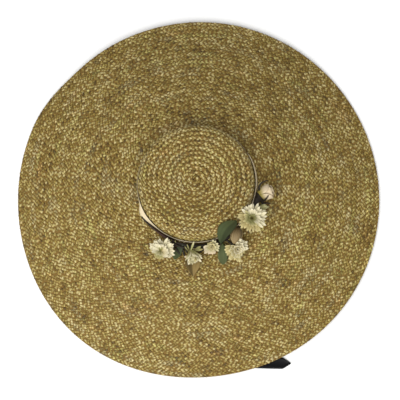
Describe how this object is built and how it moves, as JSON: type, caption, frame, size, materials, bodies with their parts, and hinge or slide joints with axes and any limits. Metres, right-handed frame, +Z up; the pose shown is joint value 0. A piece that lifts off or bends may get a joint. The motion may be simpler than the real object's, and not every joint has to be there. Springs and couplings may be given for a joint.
{
  "type": "straw boater hat",
  "caption": "Wide, gently conical straw-braid hat with a low crown, a pale ribbon, dried flowers round the crown's foot and black satin ties; worn on a head for shade.",
  "frame": {"origin": "middle of the overall box in plan, on the surface that the rim rests on", "axes": "+Z up through the crown; +X to the right and +Y to the back as the garland faces -Y"},
  "size_m": [0.4298, 0.4287, 0.089],
  "materials": {
    "straw": "sewn wheat-straw braid, dry and slightly glossy",
    "ribbon": "pale satin",
    "stem": "thin dark dried stalk",
    "petals": "dried papery petals, cream",
    "green_leaf": "dried green leaf",
    "tan_leaf": "dried tan leaf",
    "bud": "dried brown bud",
    "rose": "dried pale rosebud",
    "calyx": "dark dried calyx and stalk",
    "tie": "black satin ribbon"
  },
  "bodies": {
    "root": {"brim": "straw", "crown": "straw", "crown_ribbon": "ribbon", "garland_stem": "stem", "flower_1": "petals", "flower_2": "petals", "flower_3": "petals", "flower_4": "petals", "flower_5": "petals", "leaf_left": "green_leaf", "leaf_mid": "green_leaf", "leaf_big": "green_leaf", "leaf_tip": "green_leaf", "leaf_tan": "tan_leaf", "bud_brown": "bud", "rosebud": "rose", "calyx": "calyx", "tie_left": "tie", "tie_right": "tie"}
  },
  "joints": []
}
